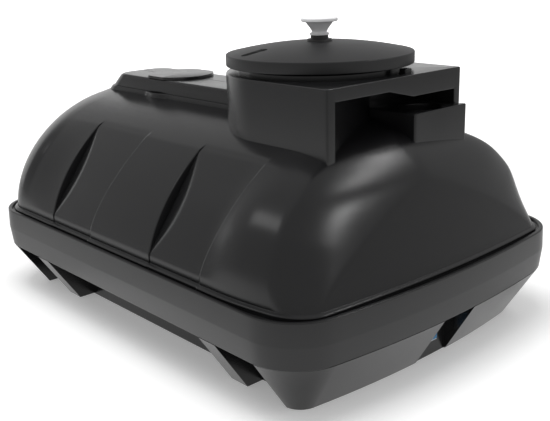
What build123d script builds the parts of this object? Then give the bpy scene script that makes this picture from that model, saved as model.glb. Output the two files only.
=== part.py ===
from build123d import *
import os

# Low drinking water tank moulded in black polyethylene.
# Frame: X along the long side, the turret end at +X, Y across, Z up.
# The origin is on the floor under the middle of the belt. All sizes are in mm.

# walls
WALL = 8.0                 # thickness of the moulded shell
GAP = 0.3                  # clearance of a piece that is seated on another

# belt, the widest part; the other lengths and widths follow from it
BELT_BOTTOM = 175.0
BELT_CREASE = 247.0
BELT_TOP = 318.0
BELT_HALF_LENGTH = 900.0
BELT_HALF_WIDTH = 642.0
BELT_TAPER = 7.0           # how far the lower edge of the belt is drawn in
BELT_BOW = 56.0
BELT_CORNER = 178.0
LIP_WIDTH = 13.0           # raised rim round the channel
LIP_TAPER = 2.0            # how far the top of the belt is drawn in
CHANNEL_DEPTH = 12.0
FOOT_Z = BELT_TOP - CHANNEL_DEPTH
ROOM_X = BELT_HALF_LENGTH + 100.0    # half sizes of the boxes that cut the moulding into pieces
ROOM_Y = BELT_HALF_WIDTH + 150.0

# base tub and feet
FOOT_HALF_LENGTH = BELT_HALF_LENGTH - 114.0   # outline of the feet on the floor
FOOT_HALF_WIDTH = BELT_HALF_WIDTH - 124.0
FOOT_BOW = 39.0
FOOT_CORNER = 62.0
TUB_HALF_WIDTH = FOOT_HALF_WIDTH - 60.0       # upright wall between the feet
TUB_HALF_LENGTH = FOOT_HALF_LENGTH - 6.0      # upright wall at the back of the end recess
TUB_BOW = FOOT_BOW - 9.0
TUB_CORNER = 20.0
FIN_CENTRE = 0.547 * BELT_HALF_LENGTH         # middle of the narrow feet from the middle of the tank
FIN_WIDTH = 74.0
BLOCK_START = FOOT_HALF_LENGTH - 87.0         # inner face of the corner feet
RECESS_CENTRE = 26.0       # recess for the outlet, across the end
RECESS_WIDTH = 150.0

# dome
DOME_TOP = 722.0
DOME_HALF_LENGTH = BELT_HALF_LENGTH - 47.0
DOME_HALF_WIDTH = BELT_HALF_WIDTH - 31.0
DOME_BOW = 37.0
DOME_CORNER = 132.0
DOME_STEPS = 10
DOME_FOOT = 20.0           # upright foot inside the channel
DOME_ARCH = 2.24           # exponent of the arch across the tank
FRONT_LEAN = 0.30          # lean of the end face below the turret
FRONT_SHOULDER = (600.0, 117.0)
FRONT_CORNER_TOP = 60.0
REAR_LEAN = 0.0
REAR_SHOULDER = (40.0, 40.0)
REAR_CORNER_TOP = 250.0
CROWN_HALF_WIDTH = 60.0    # flat strip left at the top of the arch
MIDDLE_END = 500.0         # seams between the middle of the dome and its ends

# turret
TURRET_END = DOME_HALF_LENGTH - 192.0         # flat end face
TURRET_CENTRE = TURRET_END - 331.0            # middle of the manway
TURRET_HALF_WIDTH = 304.0
TURRET_TOP = 872.0
MANWAY_RADIUS = 230.0
NECK_RADIUS = 262.0
NECK_HEIGHT = 14.0

# niche and fill platform in the end face of the turret
NICHE_BACK = TURRET_END - 161.0     # back wall of the niche
NICHE_JAMB = TURRET_END - 16.0      # where the slanting wall of the niche starts
NICHE_FROM, NICHE_TO = -271.0, 274.0
NICHE_TOP = 832.0
NICHE_LOW_TOP = 805.0      # top of the niche over the fill platform
NICHE_FALL = (-40.0, 70.0)          # the top of the niche slopes down between these
PLATFORM_TOP = 757.0
PLATFORM_END = TURRET_END + 27.0
PLATFORM_FROM = 46.0
SOCKET_RADIUS = 60.0
SOCKET_DEPTH = 40.0
SOCKET_X, SOCKET_Y = TURRET_END - 46.0, 170.0

# pockets and panels in the long sides, given on the -Y side
POCKETS = (-430.0, 180.0)  # upright face of each pocket
POCKET_LOW = (-DOME_HALF_WIDTH, 345.0)
POCKET_HIGH = (226.0 - DOME_HALF_WIDTH, 653.0)
POCKET_WIDTH = 95.0
POCKET_DEPTH = 66.0
BAND = (-15.0, 115.0)      # strip of the dome that holds a pocket, from its upright face
PANEL_LENGTH = (262.0, 308.0)       # flat panel beside each pocket, at its foot and at its top
PANEL_TOP = 660.0
PANEL_DEPTH = 7.0

# spine
SPINE_TOP = 785.0
SPINE_HALF_WIDTH = 118.0
SPINE_STEP = 748.0
SPINE_STEP_HALF_WIDTH = 126.0
SPINE_END = 161.0 - DOME_HALF_LENGTH
SPINE_ROUND = 85.0         # corner of the rib at its free end
DISC_X = SPINE_END + 252.0
BOSS_RADIUS = 140.0
DISC_RADIUS = 128.0
DISC_HEIGHT = 10.0

# lid and vent
LID_RADIUS = 303.0
LID_BOTTOM = 892.0
LID_EDGE = 929.0
LID_APEX = 962.0
LID_WALL = 5.0
VENT_TOP = 1034.0
VENT_RADIUS = 59.0
COLLAR_RADIUS = 42.0
STEM_RADIUS = 30.0

# outlet
OUTLET_Y = 22.0
OUTLET_HEIGHT = 78.0
OUTLET_BORE = 12.5
FRAME_SIZE = 52.0          # square frame round the outlet
PLUG_SIZE = 38.0


def outline(z, half_length, half_width, bow, corner, rear=None, rear_corner=None):
    """Plan of the tank at height z: straight long sides, bowed ends, round corners."""
    rear = half_length if rear is None else rear
    rear_corner = corner if rear_corner is None else rear_corner
    y = half_width
    with BuildSketch(Plane.XY.offset(z)) as sketch:
        with BuildLine():
            Line((bow - rear, -y), (half_length - bow, -y))
            ThreePointArc((half_length - bow, -y), (half_length, 0), (half_length - bow, y))
            Line((half_length - bow, y), (bow - rear, y))
            ThreePointArc((bow - rear, y), (-rear, 0), (bow - rear, -y))
        make_face()
        fillet(sketch.vertices().group_by(Axis.X)[-1], corner)
        fillet(sketch.vertices().sort_by(Axis.X).filter_by(lambda v: v.X < 0 and abs(abs(v.Y) - y) < 0.01
                                                           and v.X < bow - rear + 0.01), rear_corner)
    return sketch.sketch


def block(x0, x1, y0, y1, z0, z1):
    """Box between two corners."""
    centre = ((x0 + x1) / 2, (y0 + y1) / 2, (z0 + z1) / 2)
    return Pos(*centre) * Box(x1 - x0, y1 - y0, z1 - z0)


def feet(inset):
    """Feet of the base: sloping blocks at the corners and narrow ones between them."""
    slope = inset * 1.18
    low = outline(inset, FOOT_HALF_LENGTH - slope, FOOT_HALF_WIDTH - slope, FOOT_BOW, FOOT_CORNER)
    high = outline(BELT_BOTTOM + 2 * inset, BELT_HALF_LENGTH - BELT_TAPER - 1.0 - slope,
                   BELT_HALF_WIDTH - BELT_TAPER - 1.0 - slope, BELT_BOW, BELT_CORNER)
    skirt = loft([low, high], ruled=True)
    top = BELT_BOTTOM + 2 * inset
    out = []
    for sx in (-1, 1):
        for sy in (-1, 1):
            x0, x1 = sorted((sx * (BLOCK_START + inset), sx * ROOM_X))
            recess = RECESS_CENTRE + sy * (RECESS_WIDTH / 2 + inset)
            y0, y1 = sorted((recess, sy * ROOM_Y))
            out.append(skirt & block(x0, x1, y0, y1, 0, top))
            x0, x1 = sorted((sx * (FIN_CENTRE - FIN_WIDTH / 2 + inset),
                             sx * (FIN_CENTRE + FIN_WIDTH / 2 - inset)))
            y0, y1 = sorted((sy * (TUB_HALF_WIDTH - 40), sy * ROOM_Y))
            out.append(skirt & block(x0, x1, y0, y1, 0, top))
    return out


def tub(inset, top=BELT_BOTTOM):
    """Tub between the feet: upright walls, its ends bowed like those of the feet."""
    plan = outline(inset, TUB_HALF_LENGTH - inset, TUB_HALF_WIDTH - inset, TUB_BOW, TUB_CORNER - inset)
    return extrude(plan, top + inset)


def belt(inset):
    """Belt round the tank, widest at the crease, with the channel inside its lip."""
    length, width = BELT_HALF_LENGTH - inset, BELT_HALF_WIDTH - inset
    sections = [
        outline(BELT_BOTTOM + inset, length - BELT_TAPER, width - BELT_TAPER, BELT_BOW, BELT_CORNER),
        outline(BELT_CREASE, length, width, BELT_BOW, BELT_CORNER),
        outline(BELT_TOP - inset, length - LIP_TAPER, width - LIP_TAPER, BELT_BOW, BELT_CORNER)]
    return loft(sections, ruled=True)


def dome_reach(z, lean, shoulder):
    """How far the dome reaches along X at height z: leaning face, then an elliptic shoulder."""
    run, rise = shoulder
    part = min(max((z - DOME_TOP + rise) / rise, 0), 0.999)
    return DOME_HALF_LENGTH - lean * (z - FOOT_Z - DOME_FOOT) - run * (1 - (1 - part ** 2) ** 0.5)


def arch(y):
    """Height of the arch at y, from 0 at the foot to 1 at the crown."""
    return (1 - (y / DOME_HALF_WIDTH) ** DOME_ARCH) ** (1 / DOME_ARCH)


def dome(inset):
    """Arched cover: plans stacked up the arch, drawn in over the ends."""
    base = FOOT_Z + DOME_FOOT
    faces = [outline(FOOT_Z, DOME_HALF_LENGTH - inset, DOME_HALF_WIDTH - inset, DOME_BOW, DOME_CORNER - inset)]
    for i in range(DOME_STEPS + 1):
        y = DOME_HALF_WIDTH + (CROWN_HALF_WIDTH - DOME_HALF_WIDTH) * (i / DOME_STEPS) ** 2.0
        level = arch(y)
        z = base + (DOME_TOP - base) * level
        front = dome_reach(z, FRONT_LEAN, FRONT_SHOULDER) - inset
        rear = dome_reach(z, REAR_LEAN, REAR_SHOULDER) - inset
        bow = DOME_BOW * min(1, (y / DOME_HALF_WIDTH) ** 1.5)
        corner = DOME_CORNER + (FRONT_CORNER_TOP - DOME_CORNER) * level
        rear_corner = DOME_CORNER + (REAR_CORNER_TOP - DOME_CORNER) * level
        limit = 0.85 * (y - inset)
        faces.append(outline(z - inset * level, front, y - inset, bow, min(corner, limit),
                             rear, min(rear_corner, limit)))
    return loft(faces, ruled=True)


def turret(inset, low):
    """Housing of the manway: round towards the middle, square at the end of the tank."""
    r = TURRET_HALF_WIDTH - inset
    body = Pos(TURRET_CENTRE, 0, low) * Cylinder(
        r, TURRET_TOP - inset - low, align=(Align.CENTER, Align.CENTER, Align.MIN))
    return body + block(TURRET_CENTRE, TURRET_END - inset, -r, r, low, TURRET_TOP - inset)


def niche(grow, low):
    """Room in the end face of the turret: slanting wall on one side, lower over the platform."""
    plan = [(ROOM_X, NICHE_FROM - grow), (NICHE_JAMB - grow, NICHE_FROM - grow),
            (NICHE_BACK - grow, PLATFORM_FROM - grow), (NICHE_BACK - grow, NICHE_TO + grow),
            (ROOM_X, NICHE_TO + grow)]
    room = extrude(make_face(Polyline(*[(x, y, low) for x, y in plan], close=True)), 900 - low)
    fall_from, fall_to = NICHE_FALL
    front = [(NICHE_FROM - grow, low), (NICHE_FROM - grow, NICHE_TOP + grow), (fall_from, NICHE_TOP + grow),
             (fall_to, NICHE_LOW_TOP + grow), (NICHE_TO + grow, NICHE_LOW_TOP + grow), (NICHE_TO + grow, low)]
    face = make_face(Polyline(*[(0, y, z) for y, z in front], close=True))
    return room & extrude(face, ROOM_X, dir=(1, 0, 0))


def platform(inset, low):
    """Box of the fill point, wider where it stands out of the turret."""
    room = block(NICHE_BACK + inset, TURRET_END + inset,
                 PLATFORM_FROM + inset, NICHE_TO - inset, low, PLATFORM_TOP - inset)
    return room + block(TURRET_END + inset, PLATFORM_END - inset, PLATFORM_FROM + inset,
                        TURRET_HALF_WIDTH - inset, low, PLATFORM_TOP - inset)


def spine(inset, low):
    """Raised rib along the crown, rounded at its free end, with a step and a round boss."""
    x = SPINE_END + inset
    rib = block(x, TURRET_CENTRE - 230, -SPINE_HALF_WIDTH + inset, SPINE_HALF_WIDTH - inset, low, SPINE_TOP - inset)
    rib = fillet(rib.edges().filter_by(Axis.Z).group_by(Axis.X)[0], SPINE_ROUND - inset)
    step = block(x - 8, TURRET_CENTRE - 230, -SPINE_STEP_HALF_WIDTH + inset, SPINE_STEP_HALF_WIDTH - inset,
                 low, SPINE_STEP - inset)
    step = fillet(step.edges().filter_by(Axis.Z).group_by(Axis.X)[0], SPINE_ROUND + 8 - inset)
    boss = Pos(DISC_X, 0, low) * Cylinder(BOSS_RADIUS - inset, SPINE_STEP - inset - low,
                                          align=(Align.CENTER, Align.CENTER, Align.MIN))
    return rib + step + boss


def disc(x, y, z, radius, height):
    """Upright cylinder standing on z."""
    return Pos(x, y, z) * Cylinder(radius, height, align=(Align.CENTER, Align.CENTER, Align.MIN))


def wedge(x, side, grow):
    """Cutter of a side pocket: upright face at x, the other face rising from the chord of the arch."""
    (y0, z0), (y1, z1) = POCKET_LOW, POCKET_HIGH
    run = Vector(0, y1 - y0, z1 - z0).normalized()
    out = Vector(0, -(z1 - z0), y1 - y0).normalized()
    chord = ((y1 - y0) ** 2 + (z1 - z0) ** 2) ** 0.5
    low = Vector(x - grow, y0, z0) - run * 60 - out * (grow * 1.1)
    reach = 200.0
    rise = reach * POCKET_DEPTH / POCKET_WIDTH
    corners = [low, low + Vector(reach, 0, 0) + out * rise, low + out * rise]
    solid = extrude(make_face(Polyline(*corners, close=True)), chord + 120, dir=run)
    return solid if side < 0 else mirror(solid, Plane.XZ)


def panel(x, side, inset):
    """Cutter of the flat panel beside a pocket: the arch moved inwards, between slanting ends."""
    low, high = [], []
    for i in range(DOME_STEPS + 1):
        y = DOME_HALF_WIDTH * (1 - 0.44 * i / DOME_STEPS)
        z = FOOT_Z + DOME_FOOT + arch(y) * (DOME_TOP - FOOT_Z - DOME_FOOT)
        bulge = 1 - (2 * i / DOME_STEPS - 1) ** 2
        depth = PANEL_DEPTH * (1 + bulge) + inset
        low.append((0, -y + depth * 0.8, z - depth * 0.6))
        high.append((0, -y - 80, z + 60))
    ends = [(0, low[0][1], 0), (0, high[0][1], 0)]
    across = extrude(make_face(Polyline(ends[0], *low, *reversed(high), ends[1], close=True)), 2 * ROOM_X,
                     dir=(1, 0, 0))
    foot, top = PANEL_LENGTH
    sheet = make_face(Polyline((x - inset, 0, FOOT_Z - inset), (x + foot + inset, 0, FOOT_Z - inset),
                               (x + top + inset, 0, PANEL_TOP + inset), (x - inset, 0, PANEL_TOP + inset),
                               close=True))
    solid = Pos(-ROOM_X, 0, 0) * across & extrude(sheet, ROOM_Y, dir=(0, -1, 0))
    return solid if side < 0 else mirror(solid, Plane.XZ)


def save(shape, name):
    """Write one node of the assembly."""
    export_step(shape, f"parts/{name}.step")


os.makedirs("parts", exist_ok=True)

# Outside and inside of the moulding; its pieces are cut from the difference.
base_out, base_in = tub(0), tub(WALL)
for piece in feet(0):
    base_out += piece
for piece in feet(WALL):
    base_in += piece
mouth = LIP_TAPER + LIP_WIDTH
channel = extrude(outline(FOOT_Z, BELT_HALF_LENGTH - mouth, BELT_HALF_WIDTH - mouth, BELT_BOW,
                          BELT_CORNER - LIP_WIDTH), 60)
trough = extrude(outline(FOOT_Z - WALL, BELT_HALF_LENGTH - mouth + WALL, BELT_HALF_WIDTH - mouth + WALL,
                         BELT_BOW, BELT_CORNER - LIP_WIDTH), 60)
dome_out, dome_in = dome(0), dome(WALL)
throat = extrude(dome_in.faces().sort_by(Axis.Z)[0], 40, dir=(0, 0, -1))
belt_out, belt_in = belt(0) - channel, belt(WALL) - trough
for x in POCKETS:
    for side in (-1, 1):
        dome_out -= panel(x, side, 0)
        dome_in -= panel(x, side, WALL)
        dome_out -= wedge(x, side, 0)
        dome_in -= wedge(x, side, WALL)


def slab(x0, x1, z0, z1):
    """Box right across the tank."""
    return block(x0, x1, -ROOM_Y, ROOM_Y, z0, z1)


base_shell = (base_out & slab(-ROOM_X, ROOM_X, 0, BELT_BOTTOM)) - base_in
floor_zone = tub(0, WALL)
save(base_shell & floor_zone, "base_floor")
bore = Pos(0, OUTLET_Y, OUTLET_HEIGHT) * Rot(0, 90, 0) * disc(0, 0, 0, OUTLET_BORE, ROOM_X)
walls = base_shell - floor_zone - bore
front, rear = slab(BLOCK_START, ROOM_X, 0, 300), slab(-ROOM_X, -BLOCK_START, 0, 300)
recess = block(BLOCK_START, ROOM_X, RECESS_CENTRE - RECESS_WIDTH / 2, RECESS_CENTRE + RECESS_WIDTH / 2, 0, 300)
save(walls & recess, "outlet_wall")
save((walls & front) - recess, "foot_end_front")
save(walls & rear, "foot_end_rear")
middle = walls - front - rear
fins = [slab(x - FIN_WIDTH / 2, x + FIN_WIDTH / 2, 0, 300) for x in (-FIN_CENTRE, FIN_CENTRE)]
save((middle & fins[0]) + (middle & fins[1]), "side_feet")
save(middle - fins, "side_walls")

belt_shell = belt_out - belt_in - base_in - throat
save(belt_shell & slab(-ROOM_X, ROOM_X, BELT_BOTTOM, BELT_CREASE), "belt_lower")
save(belt_shell & slab(-ROOM_X, ROOM_X, BELT_CREASE, BELT_TOP), "belt_upper")

turret_out = turret(0, 500) - niche(0, 400)
spine_out, spine_in = spine(0, 500), spine(WALL, 500)
dome_shell = dome_out - dome_in - turret_out - spine_in
middle = dome_shell & slab(-MIDDLE_END, MIDDLE_END, 0, DOME_TOP)
bands = [block(x + BAND[0], x + BAND[1], y, y + ROOM_Y, 0, DOME_TOP) for x in POCKETS for y in (-ROOM_Y, 0)]
save(sum((middle & band for band in bands), Part()), "pocket_bands")
save(middle - bands, "dome_middle")
save(dome_shell & slab(MIDDLE_END, ROOM_X, 0, DOME_TOP), "dome_front")
save(dome_shell & slab(-ROOM_X, -MIDDLE_END, 0, DOME_TOP), "dome_rear")

# Turret: walls, deck with the manway, ring of the neck.
turret_shell = turret_out - (turret(WALL, 400) - niche(WALL, 400)) - dome_in - spine_in
manway = disc(TURRET_CENTRE, 0, 700, MANWAY_RADIUS, 300)
save((turret_shell & slab(-ROOM_X, ROOM_X, TURRET_TOP - WALL, TURRET_TOP)) - manway, "turret_deck")
save(turret_shell & slab(-ROOM_X, ROOM_X, 0, TURRET_TOP - WALL), "turret_wall")
save(disc(TURRET_CENTRE, 0, TURRET_TOP, NECK_RADIUS, NECK_HEIGHT) - manway, "neck_ring")

# Fill platform with its socket.
socket = disc(SOCKET_X, SOCKET_Y, PLATFORM_TOP - SOCKET_DEPTH, SOCKET_RADIUS, 100)
cup = disc(SOCKET_X, SOCKET_Y, PLATFORM_TOP - SOCKET_DEPTH - WALL, SOCKET_RADIUS + WALL, SOCKET_DEPTH + WALL)
box = platform(0, 500) - platform(WALL, 500) - dome_out
save(box - cup, "fill_platform")
save((cup & platform(0, 500)) - socket, "fill_socket")

# Rib along the crown.
spine_shell = spine_out - spine_in - dome_out - turret(0, 500)
save(spine_shell, "spine")
rib_top = block(SPINE_END, TURRET_CENTRE, -SPINE_HALF_WIDTH, SPINE_HALF_WIDTH, SPINE_TOP, SPINE_TOP + 50)
save(disc(DISC_X, 0, SPINE_TOP, DISC_RADIUS, DISC_HEIGHT) & rib_top, "spine_disc")

# Outlet in the end recess: square frame with a plug body in it, bored through.
frame = block(TUB_HALF_LENGTH, TUB_HALF_LENGTH + 10, OUTLET_Y - FRAME_SIZE / 2, OUTLET_Y + FRAME_SIZE / 2,
              OUTLET_HEIGHT - FRAME_SIZE / 2, OUTLET_HEIGHT + FRAME_SIZE / 2)
plug = block(TUB_HALF_LENGTH, TUB_HALF_LENGTH + 16, OUTLET_Y - PLUG_SIZE / 2, OUTLET_Y + PLUG_SIZE / 2,
             OUTLET_HEIGHT - PLUG_SIZE / 2, OUTLET_HEIGHT + PLUG_SIZE / 2)
save(frame - plug, "outlet_boss")
save(plug - bore, "outlet_fitting")

# Lid, seated on the neck ring by its seal.
def turned(points, arcs):
    """Solid turned about the middle of the manway from a half profile of radius and height."""
    with BuildSketch(Plane.XZ) as half:
        with BuildLine():
            for start, end in zip(points, points[1:] + points[:1]):
                if (start, end) in arcs:
                    ThreePointArc(start, arcs[start, end], end)
                else:
                    Line(start, end)
        make_face()
    return Pos(TURRET_CENTRE, 0, 0) * revolve(half.sketch, Axis.Z)


def lid_body(inset):
    """Domed disc with an upright rim, drawn in by inset on top and sides."""
    r, edge, apex = LID_RADIUS - inset, LID_EDGE - inset, LID_APEX - inset
    half, rise = r - 10, apex - edge
    ball = (half ** 2 + rise ** 2) / (2 * rise)
    crest = (half / 2, apex - ball + (ball ** 2 - half ** 2 / 4) ** 0.5)
    return turned([(0, LID_BOTTOM), (r, LID_BOTTOM), (r, edge - 10), (r - 10, edge), (0, apex)],
                  {((r, edge - 10), (r - 10, edge)): (r - 2.93, edge - 2.93),
                   ((r - 10, edge), (0, apex)): crest})


R, B, A = LID_RADIUS, LID_BOTTOM, LID_APEX
save(lid_body(0) - lid_body(LID_WALL), "lid_cover")
seal_bottom = TURRET_TOP + NECK_HEIGHT + GAP
save(disc(TURRET_CENTRE, 0, B, R - LID_WALL, LID_WALL), "lid_plate")
save(disc(TURRET_CENTRE, 0, seal_bottom, NECK_RADIUS - 2, B - seal_bottom)
     - disc(TURRET_CENTRE, 0, 800, MANWAY_RADIUS + 4, 200), "lid_seal")
save(disc(TURRET_CENTRE, 0, A, COLLAR_RADIUS, 6), "vent_collar")
save(disc(TURRET_CENTRE, 0, A + 6, STEM_RADIUS, 12), "vent_stem")
waist = VENT_TOP - 12
save(turned([(0, A + 18), (STEM_RADIUS, A + 18), (STEM_RADIUS, A + 24), (STEM_RADIUS - 6, A + 26),
             (VENT_RADIUS - 16, waist), (VENT_RADIUS, waist + 2), (VENT_RADIUS, VENT_TOP), (0, VENT_TOP)],
            {}), "vent_cap")
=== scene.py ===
import math
import bpy
import numpy as np
from mathutils import Matrix, Vector


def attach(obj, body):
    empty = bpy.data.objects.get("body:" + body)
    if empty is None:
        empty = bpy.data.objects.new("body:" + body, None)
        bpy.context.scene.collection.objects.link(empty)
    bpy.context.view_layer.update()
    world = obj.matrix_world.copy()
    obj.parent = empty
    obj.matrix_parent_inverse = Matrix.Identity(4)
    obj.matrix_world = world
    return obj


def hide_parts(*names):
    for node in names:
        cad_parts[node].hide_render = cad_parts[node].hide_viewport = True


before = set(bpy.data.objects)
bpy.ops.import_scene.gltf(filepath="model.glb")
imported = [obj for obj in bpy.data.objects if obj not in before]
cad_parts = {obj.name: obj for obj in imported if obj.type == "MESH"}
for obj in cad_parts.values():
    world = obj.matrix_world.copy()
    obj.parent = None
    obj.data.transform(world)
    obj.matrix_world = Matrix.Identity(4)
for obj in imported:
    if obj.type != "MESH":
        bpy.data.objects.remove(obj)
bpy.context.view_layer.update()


# Base: floor, side walls, outlet wall and feet of the tub, moulded in one in black polyethylene. It has the
# fine rough skin of its mould and rounded edges.
def moulded(name, colour, rough, grain, bump):
    """Satin moulded plastic: noise of scale grain varies colour and roughness, a finer noise raises the
    skin."""
    material = bpy.data.materials.new(name)
    material.use_nodes = True
    nodes, links = material.node_tree.nodes, material.node_tree.links
    shader = nodes["Principled BSDF"]
    place = nodes.new("ShaderNodeTexCoord")
    cloud = nodes.new("ShaderNodeTexNoise")
    cloud.inputs["Scale"].default_value = grain
    cloud.inputs["Detail"].default_value = 4
    links.new(place.outputs["Object"], cloud.inputs["Vector"])
    tint = nodes.new("ShaderNodeMapRange")
    tint.inputs["To Min"].default_value = 0.93
    tint.inputs["To Max"].default_value = 1.07
    links.new(cloud.outputs["Fac"], tint.inputs["Value"])
    paint = nodes.new("ShaderNodeVectorMath")
    paint.operation = "SCALE"
    paint.inputs[0].default_value = colour
    links.new(tint.outputs["Result"], paint.inputs["Scale"])
    links.new(paint.outputs["Vector"], shader.inputs["Base Color"])
    sheen = nodes.new("ShaderNodeMapRange")
    sheen.inputs["To Min"].default_value = rough - 0.02
    sheen.inputs["To Max"].default_value = rough + 0.02
    links.new(cloud.outputs["Fac"], sheen.inputs["Value"])
    links.new(sheen.outputs["Result"], shader.inputs["Roughness"])
    skin = nodes.new("ShaderNodeTexNoise")
    skin.inputs["Scale"].default_value = 900
    skin.inputs["Detail"].default_value = 2
    links.new(place.outputs["Object"], skin.inputs["Vector"])
    relief = nodes.new("ShaderNodeBump")
    relief.inputs["Strength"].default_value = bump
    relief.inputs["Distance"].default_value = 0.0004
    links.new(skin.outputs["Fac"], relief.inputs["Height"])
    links.new(relief.outputs["Normal"], shader.inputs["Normal"])
    return material


BLACK = (0.008, 0.008, 0.0085)
shell = moulded("shell_skin", BLACK, 0.22, 14, 0.10)
for name in ["base_floor", "outlet_wall", "foot_end_front", "foot_end_rear", "side_feet", "side_walls"]:
    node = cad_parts[name]
    node.data.materials.clear()
    node.data.materials.append(shell)
    edge = node.modifiers.new("edge", "BEVEL")
    edge.width = 0.004
    edge.segments = 3
    edge.limit_method = "ANGLE"
    edge.angle_limit = math.radians(40)
    edge.harden_normals = True


# Belt: moulded band round the tank in black polyethylene, widest at its crease and a little duller than the
# dome. Its rounded lip surrounds the channel in which the foot of the dome stands.
BELT_LENGTH, BELT_WIDTH = 0.900, 0.642      # half sizes at the crease
BELT_BOW, BELT_CORNER = 0.056, 0.178


def plan(length, width, bow, corner):
    """Outline of the belt at each level of its profile: straight sides, ends on circles through the bow, and
    corners on circles tangent to both."""
    length, width, corner = length[:, None], width[:, None], corner[:, None]
    big = (width ** 2 + bow ** 2) / (2 * bow)
    along = np.sqrt((big - corner) ** 2 - (width - corner) ** 2)
    meet = -np.arctan2(width - corner, along)
    a = -np.pi / 2 + (meet + np.pi / 2) * np.linspace(0, 1, 14)
    b = meet * np.linspace(1, -1, 40)[1:-1]
    corner_x, corner_y = length - big + along + corner * np.cos(a), -(width - corner) + corner * np.sin(a)
    end_x, end_y = length - big + big * np.cos(b), big * np.sin(b)
    x = np.hstack([corner_x, end_x, corner_x[:, ::-1]])
    y = np.hstack([corner_y, end_y, -corner_y[:, ::-1]])
    side_x = x[:, :1] * np.linspace(-1, 1, 42)[1:-1]
    side_y = np.broadcast_to(-width, side_x.shape)
    return np.hstack([side_x, x, side_x[:, ::-1], -x]), np.hstack([side_y, y, -side_y, -y])


def rounded(points, radii, steps=5):
    """Polyline through the points with each corner replaced by an arc that is tangent to both legs."""
    path = [np.array(points[0], float)]
    for before, here, after, radius in zip(points, points[1:], points[2:], radii):
        before, here, after = np.array(before, float), np.array(here, float), np.array(after, float)
        a, b = before - here, after - here
        a, b = a / np.linalg.norm(a), b / np.linalg.norm(b)
        angle = math.acos(float(np.clip(a @ b, -1, 1)))
        if radius <= 0 or angle > math.pi - 0.01:
            path.append(here)
            continue
        centre = here + (a + b) / np.linalg.norm(a + b) * radius / math.sin(angle / 2)
        first = here + a * radius / math.tan(angle / 2)
        last = here + b * radius / math.tan(angle / 2)
        ray = first + (last - first) * np.linspace(0, 1, steps)[:, None] - centre
        path.extend(centre + radius * ray / np.linalg.norm(ray, axis=1, keepdims=True))
    path.append(np.array(points[-1], float))
    return np.array(path)


def piece(name, grids, material, body, nodes=(), closed=True, sharp=40):
    """Mesh of one or more grids of points: rows by columns, joined round the columns where closed."""
    verts, faces, start = [], [], 0
    for grid in grids:
        rows, cols = grid.shape[:2]
        index = start + np.arange(rows * cols).reshape(rows, cols)
        if closed:
            index = np.hstack([index, index[:, :1]])
        quads = np.stack([index[:-1, :-1], index[:-1, 1:], index[1:, 1:], index[1:, :-1]], -1)
        verts.append(grid.reshape(-1, 3))
        faces.append(quads.reshape(-1, 4))
        start += rows * cols
    mesh = bpy.data.meshes.new(name)
    mesh.from_pydata(np.vstack(verts), [], np.vstack(faces).tolist())
    mesh.polygons.foreach_set("use_smooth", np.ones(len(mesh.polygons), bool))
    mesh.materials.append(material)
    mesh.set_sharp_from_angle(angle=math.radians(sharp))
    mesh.update()
    obj = bpy.data.objects.new(name, mesh)
    bpy.context.scene.collection.objects.link(obj)
    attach(obj, body)
    if nodes:
        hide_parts(*nodes)
    return obj


# Profile of the belt: how far it is drawn in, and the height. It goes up the outside, over the lip and
# across the floor of the channel.
belt_profile = rounded([(0.140, 0.175), (0.0075, 0.175), (0, 0.247), (0.0025, 0.318), (0.0155, 0.318),
                        (0.0165, 0.306), (0.0700, 0.306)], [0.005, 0.050, 0.004, 0.004, 0.004], 7)
draw, height = belt_profile.T
x, y = plan(BELT_LENGTH - draw, BELT_WIDTH - draw, BELT_BOW, BELT_CORNER - draw)
belt = np.dstack([x, y, np.broadcast_to(height[:, None], x.shape)])
belt_skin = moulded("belt_skin", BLACK, 0.34, 14, 0.10)
piece("belt", [belt], belt_skin, "tank", ["belt_lower", "belt_upper"])


# Dome: arched cover moulded in one with the belt, in black polyethylene. Its arch is a superellipse, flatter
# between the ends. The front end is a leaning face inside a wide band, the rear end stands upright with large
# round corners, and each long side has two pockets with a sunk panel beside each.
DOME_LENGTH, DOME_WIDTH = 0.853, 0.607      # half sizes at the foot
DOME_FOOT, DOME_TOP = 0.326, 0.722
DOME_RISE = DOME_TOP - DOME_FOOT
DOME_BOW = 0.037
ARCH = 2.24                                 # exponent of the arch
LEAN, FRONT_BOW_WIDTH = 0.30, 0.611         # front face: lean, half width over which it is bowed
CREASE_WIDTH, CREASE_RISE = 0.500, 0.257    # inner crease of the band round the front face
CREASE_POWER = 1.25
BAND_SLOPE = 0.080                          # slope of the band just outside the crease
EDGE = 0.965                                # where the band meets the side, as a share of the arch
REAR_ROUND = 0.040                          # rounding of the rear end at the crown
FLAT_SHARE = 0.46                           # how much of the arch's bulge is lost where it is flatter
FLAT_REAR, FLAT_FRONT = -0.76, 0.60         # x at which the flatter stretch starts and ends
POCKET_X = (-0.430, 0.180)                  # upright face of each pocket
CHORD_LOW = (-0.611, 0.345)                 # y and z of the ends of the straight bottom line of a pocket
CHORD_HIGH = (-0.385, 0.653)
POCKET_SLOPE = 0.30                         # rise of its slanting face
POCKET_LIP = 0.0035                         # radius of the edge of its upright face
PANEL_DEPTH, PANEL_BULGE = 0.003, 0.06      # depth of a panel, and its growth with the bulge of the arch
PANEL_LENGTH, PANEL_SLANT, PANEL_TOP = 0.310, 0.050, 0.662


def ramp(value):
    """Smooth step from 0 to 1."""
    value = np.clip(value, 0, 1)
    return value * value * (3 - 2 * value)


def above(value, soft):
    """Larger of the value and 0, with a parabola over the length soft each side of the corner."""
    return np.where(value > soft, value, np.clip(value + soft, 0, None) ** 2 / (4 * soft))


def arch(turn):
    """Half width and rise of the arch at a parameter that goes from 0 at the foot to a quarter turn."""
    return DOME_WIDTH * np.cos(turn) ** (2 / ARCH), DOME_RISE * np.sin(turn) ** (2 / ARCH)


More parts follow.
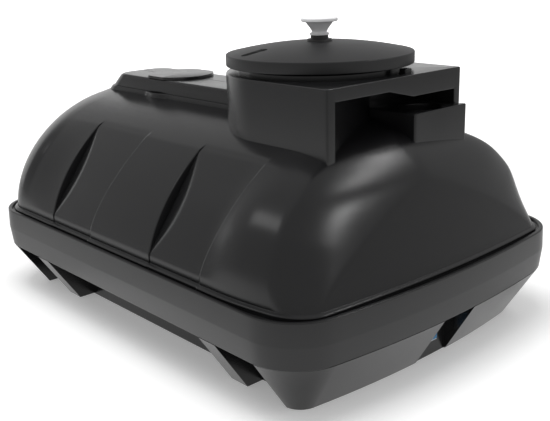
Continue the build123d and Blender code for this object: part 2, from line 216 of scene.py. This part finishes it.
def front_face(y, z, part, turn):
    """x of the front end: leaning plane, and past the inner crease a gentle slope with a quarter ellipse
    that meets the side at EDGE. part is 1 on the arch and 0 at the middle of the foot."""
    plane = DOME_LENGTH - LEAN * (z - DOME_FOOT) - DOME_BOW * (y / FRONT_BOW_WIDTH) ** 2
    width, rise = arch(turn)
    power = CREASE_POWER
    crease = ((width / CREASE_WIDTH) ** power + (rise / CREASE_RISE) ** power) ** (-1 / power)
    past = np.clip((part - crease) / (EDGE + 0.004 - crease), 0, 1)
    # The quarter ellipse is least deep along x half way up the arch.
    depth = 0.040 + 0.070 * (1 - ramp(turn / 0.50)) + 0.110 * ramp((turn - 0.70) / 0.87)
    return plane - BAND_SLOPE * above(part - crease, 0.004) - depth * (1 - np.sqrt(1 - past ** 2))


def rear_face(y, z):
    """x of the rear end: upright face with a low rounding at the crown and corners rounded in plan. Their
    radius grows with the height and shrinks again near the crown."""
    level = np.clip((z - DOME_FOOT) / DOME_RISE, 0, 1)
    half = DOME_WIDTH * (1 - level ** ARCH) ** (1 / ARCH)
    part = np.clip((z - DOME_TOP + REAR_ROUND) / REAR_ROUND, 0, 1)
    face = DOME_LENGTH - REAR_ROUND * (1 - np.sqrt(1 - part ** 2)) - DOME_BOW * (y / DOME_WIDTH) ** 2
    radius = np.minimum(0.132 + 0.118 * level - 0.090 * level ** 4, 0.85 * half)
    past = np.clip((np.abs(y) - half + radius) / radius, 0, 1)
    return -face + radius * (1 - np.sqrt(1 - past ** 2))


# The near half is three grids side by side: rear end, barrel and front end. Columns are close together at
# the pockets and at the edges of the panels.
near = np.array([-30, -12, -7, -5, -4, -3, -2.2, -1.4, -0.7, -0.3, 0, 0.01, 0.5, 1.2, 2, 3, 4.5]) / 1000
steps = np.unique(np.round(np.concatenate(
    [np.linspace(-0.52, 0.54, 60)] + [x0 + near for x0 in POCKET_X]
    + [np.linspace(x0, x0 + 0.15, 60)[1:] for x0 in POCKET_X]
    + [np.arange(x0 + 0.255, x0 + 0.335, 0.002) for x0 in POCKET_X]), 5))
turn = (np.linspace(0, 1, 110) * math.pi / 2 * 0.985)[:, None]
arch_y, arch_z = arch(turn)
rear_part = np.sin(np.linspace(0, math.pi / 2, 26))[None, :]
rear_y, rear_z = arch_y * rear_part, DOME_FOOT + arch_z * rear_part
rear_x = rear_face(rear_y, rear_z)
front_part = EDGE * np.sin(np.linspace(math.pi / 2, 0, 70))[None, :]
front_y, front_z = arch_y * front_part, DOME_FOOT + arch_z * front_part
front_x = front_face(front_y, front_z, front_part, turn)

# Between the ends the columns keep fixed steps along x where the pockets are. Above these they spread evenly.
start, stop = rear_x[:, -1:], front_x[:, :1]
stretch = ramp((DOME_FOOT + arch_z - 0.664) / 0.020)
spread = (steps - steps[0]) / (steps[-1] - steps[0])
middle = steps * (1 - stretch) + (start + (stop - start) * (0.05 + 0.90 * spread)) * stretch
lead = start + (middle[:, :1] - start) * np.linspace(0, 1, 8)[1:-1]
tail = middle[:, -1:] + (stop - middle[:, -1:]) * np.linspace(0, 1, 8)[1:-1]
side_x = np.hstack([lead, middle, tail])
drawn_in = 1 - (1 - EDGE) * np.clip((side_x - 0.50) / (stop - 0.50), 0, 1) ** 2
side_y, side_z = arch_y * drawn_in, DOME_FOOT + arch_z * drawn_in

# Depth of the flatter stretch, the pockets and the panels, measured from the arch along the normal of the
# chord of a pocket. bulge is how far the arch stands out over that chord.
chord = np.array(CHORD_HIGH) - np.array(CHORD_LOW)
chord /= np.linalg.norm(chord)
normal = np.array([-chord[1], chord[0]])
bulge = np.clip((-side_y - CHORD_LOW[0]) * normal[0] + (side_z - CHORD_LOW[1]) * normal[1], 0, 1)
flat = FLAT_SHARE * bulge * ramp((side_x - FLAT_REAR) / 0.33) * ramp((FLAT_FRONT - side_x) / 0.18)
depth = flat
for x0 in POCKET_X:
    along = side_x - x0
    fall = np.clip(along + POCKET_LIP, 0, POCKET_LIP)
    lip = flat + np.minimum(POCKET_LIP - np.sqrt(POCKET_LIP ** 2 - fall ** 2), bulge - flat)
    panel_end = x0 + PANEL_LENGTH - PANEL_SLANT * ramp((PANEL_TOP - 0.002 - side_z) / 0.33)
    inside = ramp((panel_end - side_x) / 0.006) * ramp((PANEL_TOP - side_z) / 0.012) * (along > 0)
    panel = flat + (PANEL_DEPTH + PANEL_BULGE * bulge) * inside
    slant = bulge - np.clip(along, 0, None) * POCKET_SLOPE
    pocket = panel + above(slant - panel, 0.004) * ramp(bulge / 0.006)
    depth = np.maximum(depth, np.where(along >= 0, pocket, lip) * (side_z < 0.70))
side_y = side_y - depth * abs(normal[0])
side_z = side_z - depth * normal[1]

# Below the arch a low bead runs round the foot of the dome. The far half mirrors the near one.
half = np.dstack([np.hstack([rear_x, side_x, front_x[:, 1:]]),
                  -np.hstack([rear_y, side_y, front_y[:, 1:]]),
                  np.hstack([rear_z, side_z, front_z[:, 1:]])])
line = half[0, :, :2]
tangent = np.gradient(line, axis=0)
aside = np.stack([tangent[:, 1], -tangent[:, 0]], 1) / np.linalg.norm(tangent, axis=1)[:, None]
bead = rounded([(0.0120, 0.306), (0.0120, 0.3200), (0.0008, 0.3240), (0.0001, 0.3262)], [0.0050, 0.0015], 6)
foot = np.array([np.column_stack([line + aside * d, np.full(len(line), h)]) for d, h in bead])
half = np.vstack([foot, half])
piece("dome", [np.vstack([half, half[::-1] * (1, -1, 1)])], shell, "tank",
      ["dome_middle", "pocket_bands", "dome_front", "dome_rear"], closed=False, sharp=50)


# Turret: housing of the manway, moulded in one with the dome in black polyethylene. It is round towards the
# middle of the tank and flat at the end, with a deck on top and a niche for the fill point in its end face.
TURRET_X, TURRET_R = 0.330, 0.304           # middle of the manway, radius and half width of the turret
TURRET_END, TURRET_TOP = 0.661, 0.872
DOWN = 0.600                                # how far down walls reach into the dome
NICHE_OUT, NICHE_IN = -0.271, 0.274         # sides of the niche
NICHE_HIGH, NICHE_LOW = 0.832, 0.805        # top of the niche, and where it is lower over the fill platform
NICHE_FALL = (-0.040, 0.070)                # its top slopes down between these
NICHE_EDGE = 0.003                          # rounding of the edge of the niche
JAMB, BACK, BACK_FROM = 0.645, 0.500, 0.046
NECK_R = 0.262


def around(centre, outline, angles):
    """Points where rays from the centre at these angles meet a closed outline."""
    start, leg = outline - centre, np.roll(outline, -1, 0) - outline
    dx, dy = np.cos(angles)[:, None], np.sin(angles)[:, None]
    cross = dx * leg[:, 1] - dy * leg[:, 0]
    cross = np.where(np.abs(cross) < 1e-12, 1e-12, cross)
    far = (start[:, 0] * leg[:, 1] - start[:, 1] * leg[:, 0]) / cross
    part = (start[:, 0] * dy - start[:, 1] * dx) / cross
    far = np.where((far > 0) & (part > -1e-6) & (part < 1 + 1e-6), far, np.inf).min(1)
    return centre + far[:, None] * np.hstack([dx, dy])


def niche_top(y):
    """Height of the top of the niche at y: level, then falling towards the fill platform."""
    return np.interp(y, NICHE_FALL, [NICHE_HIGH, NICHE_LOW])


def niche_back(y):
    """x of the back wall of the niche at y."""
    return np.interp(y, [NICHE_OUT, BACK_FROM], [JAMB, BACK])


# Outside: rings from the neck over the edge of the deck and down. In front of the niche they end at its top.
hub = np.array([TURRET_X, 0.0])
half_turn = np.linspace(math.pi / 2, 3 * math.pi / 2, 90)[1:-1]
flat_end = rounded([(TURRET_X, -TURRET_R), (TURRET_END, -TURRET_R), (TURRET_END, TURRET_R),
                    (TURRET_X, TURRET_R)], [0.006, 0.006], 6)
outline = np.vstack([flat_end, hub + TURRET_R * np.stack([np.cos(half_turn), np.sin(half_turn)], 1)])
marks = np.array([(TURRET_END, v) for v in (NICHE_OUT - 0.0032, NICHE_OUT - 0.0031, *NICHE_FALL,
                                            NICHE_IN + 0.0031, NICHE_IN + 0.0032)])
bearing = [np.arctan2(*(q - hub).T[::-1]) for q in (outline, marks)]
angles = np.unique(np.concatenate(bearing + [np.linspace(-math.pi, math.pi, 181)[:-1]]))
rim = around(hub, outline, angles)
span = np.linalg.norm(rim - hub, axis=1)[:, None]
over_niche = ((np.abs(rim[:, 0] - TURRET_END) < 1e-6) & (rim[:, 1] > NICHE_OUT - 0.00315)
              & (rim[:, 1] < NICHE_IN + 0.00315))
low = np.where(over_niche, niche_top(rim[:, 1]) + NICHE_EDGE, DOWN)
rings = [np.column_stack([hub + NECK_R * (rim - hub) / span, np.full(len(rim), TURRET_TOP)])]
for inset, level in rounded([(0.060, TURRET_TOP), (0, TURRET_TOP), (0, DOWN)], [0.0045], 6)[1:]:
    ring = hub + (rim - hub) * (1 - inset / span)
    rings.append(np.column_stack([ring, low if level == DOWN else np.full(len(ring), level)]))
piece("turret", [np.array(rings)[::-1]], shell, "tank", ["turret_deck", "turret_wall"])

# Inside of the niche: its edge rounds into the opening, which runs back to the slanting rear wall.
opening = rounded([(NICHE_OUT, DOWN), (NICHE_OUT, NICHE_HIGH), (NICHE_FALL[0], NICHE_HIGH),
                   (NICHE_FALL[1], NICHE_LOW), (NICHE_IN, NICHE_LOW), (NICHE_IN, DOWN)],
                  [0.004, 0.02, 0.02, 0.004], 7)
tangent = np.gradient(opening, axis=0)
normal = np.stack([-tangent[:, 1], tangent[:, 0]], 1) / np.linalg.norm(tangent, axis=1)[:, None]
jamb = []
for turn in np.linspace(0, math.pi / 2, 5):
    edge = opening + normal * NICHE_EDGE * (1 - math.sin(turn))
    jamb.append(np.column_stack([np.full(len(edge), TURRET_END - NICHE_EDGE * (1 - math.cos(turn))), edge]))
jamb.append(np.column_stack([niche_back(opening[:, 0]), opening]))
back = rounded([(JAMB, NICHE_OUT), (BACK, BACK_FROM), (BACK, NICHE_IN)], [0.03], 8)
back = np.array([np.column_stack([back, np.full(len(back), DOWN)]),
                 np.column_stack([back, niche_top(back[:, 1])])])
piece("niche", [np.array(jamb)[::-1], back], shell, "tank", closed=False)


# Lug: small upright block of black polyethylene on the deck beside the lid, moulded in one with the deck.
# The lid is turned against it.
def block(low, high, radius):
    """Rounded block as rings of a rounded rectangle, from the top middle outwards and down."""
    ring = rounded([(0.0, -1), (1, -1), (1, 1), (-1, 1), (-1, -1), (0.0, -1)], [0.4] * 4, 5)[:-1]
    middle, half = (np.array(low) + high) / 2, (np.array(high) - low) / 2
    edge = rounded([(half[0], high[2]), (0, high[2]), (0, low[2])], [radius], 5)
    return np.array([np.column_stack([middle[:2] + ring * (half[:2] - inset), np.full(len(ring), h)])
                     for inset, h in edge])


piece("lug", [block((0.600, 0.070, 0.868), (0.630, 0.100, 0.886), 0.003)[::-1]], shell, "tank")


# Neck of the manway: low upright ring of black polyethylene, moulded in one with the deck. The seal of the
# lid sits on its top edge.
def turned(profile, centre, columns=160):
    """Surface turned about an upright axis from a profile of radius and height."""
    turn = np.linspace(0, 2 * math.pi, columns + 1)[:-1]
    radius, height = profile[:, :1], profile[:, 1:]
    return np.dstack([centre[0] + radius * np.cos(turn), centre[1] + radius * np.sin(turn),
                      np.broadcast_to(height, (len(profile), columns))])


neck = rounded([(0.230, 0.860), (0.230, 0.886), (NECK_R, 0.886), (NECK_R, TURRET_TOP)], [0.003, 0.003], 5)
piece("neck", [turned(neck, hub)[::-1]], shell, "tank", ["neck_ring"])


# Fill platform: box that stands out of the niche, moulded in one with it in black polyethylene. A round
# socket for the fill pipe is sunk in its top.
SOCKET, SOCKET_R, SOCKET_FLOOR = np.array([0.615, 0.170]), 0.060, 0.717
PLATFORM_END, PLATFORM_TOP = 0.688, 0.757
plot = rounded([(BACK, 0.060), (BACK, BACK_FROM), (PLATFORM_END, BACK_FROM), (PLATFORM_END, TURRET_R),
                (TURRET_END, TURRET_R), (TURRET_END, NICHE_IN), (BACK, NICHE_IN), (BACK, 0.060)],
               [0.005, 0.006, 0.006, 0.001, 0.001, 0.005], 5)
bearing = np.arctan2(*(plot - SOCKET).T[::-1])
angles = np.unique(np.concatenate([bearing, np.linspace(-math.pi, math.pi, 121)[:-1]]))
rim = around(SOCKET, plot, angles)
away = (rim - SOCKET) / np.linalg.norm(rim - SOCKET, axis=1)[:, None]
inner = rounded([(0.0, SOCKET_FLOOR), (SOCKET_R, SOCKET_FLOOR), (SOCKET_R, PLATFORM_TOP),
                 (SOCKET_R + 0.006, PLATFORM_TOP)], [0.006, 0.003], 6)
outer = rounded([(0.020, PLATFORM_TOP), (0, PLATFORM_TOP), (0, DOWN)], [0.004], 6)[1:]
box = np.array([np.column_stack([SOCKET + away * r, np.full(len(away), h)]) for r, h in inner]
               + [np.column_stack([rim - away * r, np.full(len(away), h)]) for r, h in outer])
piece("platform", [box[::-1]], shell, "tank", ["fill_platform", "fill_socket"])


# Rib along the crown, moulded in one with the dome in black polyethylene: flat top, sloping end, and a step
# at its foot with the bulge of a round boss. A thin flat disc lies on top of it.
RIB_TOP, RIB_STEP, RIB_FOOT = 0.785, 0.734, 0.690
RIB_END, RIB_SLOPE = -0.735, 1.25           # end of the flat top, and run of the end per height
RIB_WIDTH, RIB_ROUND = 0.118, 0.075
STEP_OUT, BOSS_X, BOSS_R = 0.008, -0.440, 0.140
DISC_R, DISC_TOP = 0.128, 0.795


def rib(inset, half, end, corner, boss, height):
    """Outline of the rib drawn in by inset: straight sides that bulge where the boss is wider, and an end
    with round corners."""
    x = np.linspace(0.100, end + corner, 150)
    bulging = np.sqrt(np.clip((boss - inset) ** 2 - (x - BOSS_X) ** 2, 0, None))
    y = np.maximum(half - inset, bulging)
    turn = np.linspace(0, math.pi / 2, 12)[1:]
    ex = end + corner - (corner - inset) * np.sin(turn)
    ey = (half - corner) + (corner - inset) * np.cos(turn)
    x, y = np.concatenate([x, ex]), np.concatenate([y, ey])
    x, y = np.concatenate([x, x[::-1]]), np.concatenate([-y, y[::-1]])
    return np.column_stack([x, y, np.full(len(x), height)])


def rib_end(height):
    """x of the sloping end of the rib at a height."""
    return RIB_END - RIB_SLOPE * (RIB_TOP - height)


top_path = rounded([(0.040, RIB_TOP), (0, RIB_TOP), (0, RIB_STEP)], [0.009], 6)
step_path = rounded([(0.010, RIB_STEP), (0, RIB_STEP), (0, RIB_FOOT)], [0.003], 5)
ridge = np.array([rib(d, RIB_WIDTH, rib_end(h), RIB_ROUND, 0.0, h) for d, h in top_path])
crown = ridge[:1] * (1, 0.02, 1)
step = np.array([rib(d, RIB_WIDTH + STEP_OUT, rib_end(h) - 0.006, RIB_ROUND + STEP_OUT, BOSS_R, h)
                 for d, h in step_path])
piece("rib", [np.vstack([crown, ridge]), step], shell, "tank", ["spine"], closed=False)

turn = np.linspace(0, 2 * math.pi, 129)[:-1]
cap = rounded([(0, DISC_TOP), (DISC_R, DISC_TOP), (DISC_R, RIB_TOP)], [0.002], 4)
side = RIB_WIDTH - 0.0002
disc = np.array([np.column_stack([BOSS_X + r * np.cos(turn), np.clip(r * np.sin(turn), -side, side),
                                  np.full(len(turn), h)]) for r, h in cap])
piece("rib_disc", [disc[::-1]], shell, "tank", ["spine_disc"])


# Lid: shallow dome with an upright rim, moulded in black polyethylene and duller than the tank. It has a
# long sunk slot for its lock and a round seat for the vent.
LID_R, LID_LOW, LID_EDGE, LID_TOP = 0.303, 0.892, 0.929, 0.962
SEAT_R, SEAT_DEPTH = 0.043, 0.003
SLOT_TURN, SLOT_FROM, SLOT_TO = math.radians(-104.5), 0.205, 0.262
SLOT_HALF, SLOT_DEPTH = 0.0150, 0.016
lid_skin = moulded("lid_skin", BLACK, 0.46, 11, 0.15)

# Rings close together at the seat and the slot, on a sphere through the edge and the top.
across = np.concatenate([np.linspace(0, 0.044, 8), np.linspace(0.050, 0.185, 18),
                         np.linspace(0.188, 0.280, 70), [0.283, 0.286, 0.289, 0.292]])
rise = LID_TOP - LID_EDGE
sphere = ((LID_R - 0.008) ** 2 + rise ** 2) / (2 * rise)
crest = LID_TOP - sphere + np.sqrt(sphere ** 2 - across ** 2)
edge = rounded([(0.2945, crest[-1] - 0.0006), (LID_R, LID_EDGE - 0.0012), (LID_R, LID_LOW),
                (0.290, LID_LOW)], [0.004, 0.003], 5)
crest = crest - np.where(across < SEAT_R, SEAT_DEPTH, 0)
turn = np.unique(np.concatenate([np.linspace(-math.pi, math.pi, 181)[:-1],
                                 np.linspace(SLOT_TURN - 0.07, SLOT_TURN + 0.07, 60)]))
radius = np.concatenate([across, edge[:, 0]])[:, None]
height = np.concatenate([crest, edge[:, 1]])[:, None] + 0 * turn
lx, ly = radius * np.cos(turn), radius * np.sin(turn)
along = lx * math.cos(SLOT_TURN) + ly * math.sin(SLOT_TURN)
aside = -lx * math.sin(SLOT_TURN) + ly * math.cos(SLOT_TURN)
gap = np.hypot(along - np.clip(along, SLOT_FROM, SLOT_TO), aside)
height = height - SLOT_DEPTH * ramp((SLOT_HALF + 0.001 - gap) / 0.003) * (radius < 0.292)
cover = np.dstack([TURRET_X + lx, ly, height])
piece("lid", [cover[::-1]], lid_skin, "lid", ["lid_cover"])


# Vent: cap turned in white plastic, with a hollow cone under its rim. It stands on a short black stem in a
# black collar, which is seated on the middle of the lid.
vent_white = moulded("vent_white", (0.80, 0.80, 0.81), 0.35, 30, 0.05)
stem_black = moulded("stem_black", (0.010, 0.010, 0.010), 0.45, 60, 0.3)
funnel = rounded([(0, 1.034), (0.059, 1.034), (0.059, 1.023), (0.044, 1.020), (0.026, 0.996), (0.024, 0.989),
                  (0.031, 0.986), (0.031, 0.980), (0.026, 0.980)],
                 [0.003, 0.003, 0.004, 0.03, 0.002, 0.002, 0.001], 7)
piece("vent", [turned(funnel, hub, 96)[::-1]], vent_white, "lid", ["vent_cap"])
stub = rounded([(0.020, 0.9805), (0.0285, 0.9805), (0.0285, 0.968), (0.031, 0.966)], [0.001, 0.001], 4)
piece("vent_neck", [turned(stub, hub, 96)[::-1]], stem_black, "lid", ["vent_stem"])
seat = rounded([(0.020, 0.968), (0.040, 0.968), (0.042, 0.958)], [0.002], 4)
piece("vent_seat", [turned(seat, hub, 96)[::-1]], stem_black, "lid", ["vent_collar"])


# Pieces that hardly show, as the solids have them: polyethylene plate and rubber seal under the lid, and the
# square white frame of the outlet with its blue plug body.
outlet_white = moulded("outlet_white", (0.75, 0.78, 0.80), 0.3, 50, 0.05)
outlet_blue = moulded("outlet_blue", (0.02, 0.20, 0.42), 0.25, 50, 0.05)
for name, skin in [("lid_plate", lid_skin), ("lid_seal", stem_black), ("outlet_boss", outlet_white),
                   ("outlet_fitting", outlet_blue)]:
    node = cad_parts[name]
    node.data.materials.clear()
    node.data.materials.append(skin)


# Studio: a white floor, a plain grey sky that the camera sees as white, a white backdrop behind the tank, a
# soft lamp above, and three soft panels that draw the highlights.
def paper(name, corners, level, camera, glossy, reach):
    """Flat stage piece of white paper. It glows by level for all rays, and more for camera and for glossy
    rays: each of these goes from its first to its second value between its two distances of reach from the
    middle of the tank."""
    material = bpy.data.materials.new(name + "_paper")
    material.use_nodes = True
    nodes, links = material.node_tree.nodes, material.node_tree.links
    shader = nodes["Principled BSDF"]
    shader.inputs["Base Color"].default_value = (0.9, 0.9, 0.9, 1)
    shader.inputs["Roughness"].default_value = 1.0
    shader.inputs["Specular IOR Level"].default_value = 0.0
    shader.inputs["Emission Color"].default_value = (1, 1, 1, 1)
    place = nodes.new("ShaderNodeNewGeometry")
    away = nodes.new("ShaderNodeVectorMath")
    away.operation = "LENGTH"
    links.new(place.outputs["Position"], away.inputs[0])
    seen = nodes.new("ShaderNodeLightPath")
    total = None
    for ray, ends, span in [("Is Camera Ray", camera, reach[0]), ("Is Glossy Ray", glossy, reach[1])]:
        grow = nodes.new("ShaderNodeMapRange")
        grow.interpolation_type = "SMOOTHSTEP"
        for key, value in zip(("From Min", "From Max", "To Min", "To Max"), span + ends):
            grow.inputs[key].default_value = value
        links.new(away.outputs["Value"], grow.inputs["Value"])
        glow = nodes.new("ShaderNodeMath")
        glow.operation = "MULTIPLY_ADD"
        glow.inputs[2].default_value = level
        if total:
            links.new(total, glow.inputs[2])
        links.new(seen.outputs[ray], glow.inputs[0])
        links.new(grow.outputs["Result"], glow.inputs[1])
        total = glow.outputs["Value"]
    links.new(total, shader.inputs["Emission Strength"])
    mesh = bpy.data.meshes.new(name)
    mesh.from_pydata(corners, [], [tuple(range(len(corners)))])
    mesh.materials.append(material)
    obj = bpy.data.objects.new(name, mesh)
    bpy.context.scene.collection.objects.link(obj)


# Within about a metre of the tank the floor glows for glossy rays only: a painted reflection of lit floor
# where the tank shades it.
paper("studio_floor", [(-30, -30, 0), (30, -30, 0), (30, 30, 0), (-30, 30, 0)], 0.0, (0.25, 0.75),
      (0.42, 0.0), [(1.5, 4.5), (0.85, 1.10)])
paper("studio_backdrop", [(-9, -4, 0), (-3, 9, 0), (-3, 9, 3), (-9, -4, 3)], 0.4, (0.7, 0.7), (0.0, 0.0),
      [(0, 1), (0, 1)])

SKY = 0.44
world = bpy.data.worlds.new("studio_sky")
bpy.context.scene.world = world
world.use_nodes = True
sky = world.node_tree.nodes["Background"]
sky.inputs["Color"].default_value = (1, 1, 1, 1)
seen = world.node_tree.nodes.new("ShaderNodeLightPath")
level = world.node_tree.nodes.new("ShaderNodeMapRange")
level.inputs["To Min"].default_value = SKY
level.inputs["To Max"].default_value = 1.0
world.node_tree.links.new(seen.outputs["Is Camera Ray"], level.inputs["Value"])
world.node_tree.links.new(level.outputs["Result"], sky.inputs["Strength"])


def soft_panel(name, azimuth, rise, roll, wide, high, level, mirrored=True):
    """Soft panel 4 m from the shoulder of the tank, at an azimuth (0 towards -Y, 90 towards +X) and elevation
    in degrees, turned about its own axis by roll. One that isn't mirrored shows in no reflection."""
    light = bpy.data.lights.new(name, "AREA")
    light.shape = "RECTANGLE"
    light.size, light.size_y = wide, high
    light.energy = level * 4 * wide * high
    obj = bpy.data.objects.new(name, light)
    a, e = math.radians(azimuth), math.radians(rise)
    away = Vector((math.sin(a) * math.cos(e), -math.cos(a) * math.cos(e), math.sin(e)))
    place = Matrix.Translation(Vector((0.6, -0.2, 0.5)) + away * 4.0)
    facing = away.to_track_quat("Z", "Y").to_matrix().to_4x4()
    obj.matrix_world = place @ facing @ Matrix.Rotation(math.radians(roll), 4, "Z")
    obj.visible_glossy = mirrored
    bpy.context.scene.collection.objects.link(obj)


soft_panel("shoulder_panel", 151, 49.5, 12, 2.2, 0.20, 8.0)
soft_panel("corner_panel", 115, 31, 30, 1.0, 0.14, 16.0)
soft_panel("side_panel", -42, 44, 36, 1.7, 0.72, 1.4)
soft_panel("top_panel", -40, 78, 0, 3.0, 3.0, 3.8, mirrored=False)

lens = bpy.data.cameras.new("camera")
lens.lens = 55.4617
lens.sensor_width = 36
camera = bpy.data.objects.new("camera", lens)
bpy.context.scene.collection.objects.link(camera)
camera.matrix_world = Matrix(((0.6700769, -0.1977573, 0.7154642, 2.2865335),
                              (0.7417878, 0.2139061, -0.6356060, -1.9500113),
                              (-0.0273464, 0.9566275, 0.2900275, 1.2320194),
                              (0, 0, 0, 1)))
bpy.context.scene.camera = camera
bpy.context.scene.view_settings.view_transform = "Standard"
